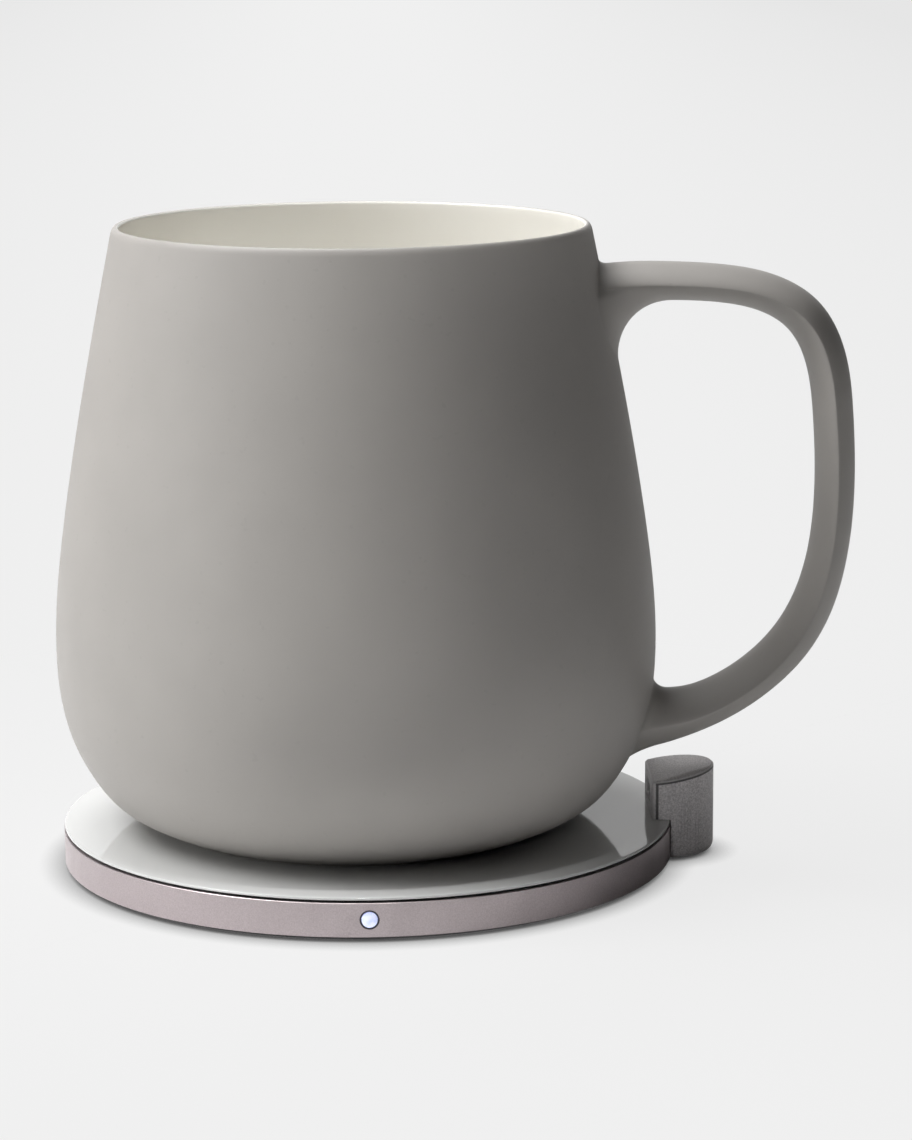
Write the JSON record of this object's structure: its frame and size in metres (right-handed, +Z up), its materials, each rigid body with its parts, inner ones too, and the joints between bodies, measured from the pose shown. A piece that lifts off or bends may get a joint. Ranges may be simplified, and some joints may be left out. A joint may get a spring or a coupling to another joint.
{
  "type": "electric mug warmer",
  "caption": "Round wireless warming pad with a lit side button and an upright sensor and socket block, with the heated ceramic mug that lifts off it.",
  "frame": {"origin": "on the table plane at the pad's vertical axis, at the centre of the sole's lower face", "axes": "+Z up, +X from the pad's axis to the upright block, -Y to the power button in the rim"},
  "size_m": [0.1232, 0.0954, 0.0993],
  "materials": {
    "mug_glaze": "matt glaze outside, glossy pale glaze inside",
    "plate_glass": "glossy, back-painted pale grey",
    "rim_metal": "bead-blasted and anodised mauve grey",
    "block_metal": "bead-blasted and anodised dark grey",
    "seam_black": "matt",
    "sole_rubber": "matt",
    "cover_plastic": "fine texture",
    "screw_steel": "zinc plated",
    "bezel_dark": "satin",
    "button_lens": "translucent, lit cool white",
    "window_dark": "passes infrared only",
    "board_green": "solder mask",
    "chip_black": "moulded",
    "capacitor_tan": "sintered",
    "choke_grey": "sintered",
    "ferrite_grey": "sintered",
    "coil_copper": "enamelled stranded copper; brass stands in for copper",
    "film_amber": "polyimide",
    "tray_white": "moulded",
    "bead_epoxy": "cast",
    "cable_orange": "flat cable",
    "led_white": "lit",
    "socket_steel": "drawn",
    "tongue_black": "moulded",
    "heater_metal": "rolled",
    "seal_silicone": "soft",
    "cap_plastic": "satin"
  },
  "bodies": {
    "pad": {"rubber_sole": "sole_rubber", "bottom_cover": "cover_plastic", "cover_screws": "screw_steel", "housing_ring": "rim_metal", "seam_gasket": "seam_black", "top_plate": "plate_glass", "coil_tray": "tray_white", "ferrite_disc": "ferrite_grey", "charging_coil": "coil_copper", "coil_leads": "coil_copper", "insulating_film": "film_amber", "plate_thermistor": "bead_epoxy", "main_board": "board_green", "board_screws": "screw_steel", "controller_chip": "chip_black", "power_transistors": "chip_black", "resonant_capacitors": "capacitor_tan", "filter_chokes": "choke_grey", "small_capacitors": "capacitor_tan", "cable_connector": "tray_white", "board_cable": "cable_orange", "button_bezel": "bezel_dark", "button_switch": "chip_black", "status_led": "led_white", "tower_shell": "block_metal", "tower_base": "cover_plastic", "tower_base_screw": "screw_steel", "tower_side_screw": "screw_steel", "tower_board": "board_green", "usb_shell": "socket_steel", "usb_tongue": "tongue_black", "sensor_window": "window_dark", "proximity_sensor": "chip_black", "sensor_board": "board_green"},
    "button": {"power_button": "button_lens"},
    "mug": {"mug_body": "mug_glaze", "mug_handle": "mug_glaze", "heating_disc": "heater_metal", "heater_pad": "seal_silicone", "base_seal": "seal_silicone", "base_cap": "cap_plastic"}
  },
  "joints": [
    {"name": "button_press", "type": "slide", "parent": "pad", "child": "button", "axis": [0, 1, 0], "range_m": [0, 0.00035], "stiffness_N_per_m": 1500},
    {"name": "mug_lift", "type": "slide", "parent": "pad", "child": "mug", "axis": [0, 0, 1], "range_m": [0, 0.12]}
  ]
}
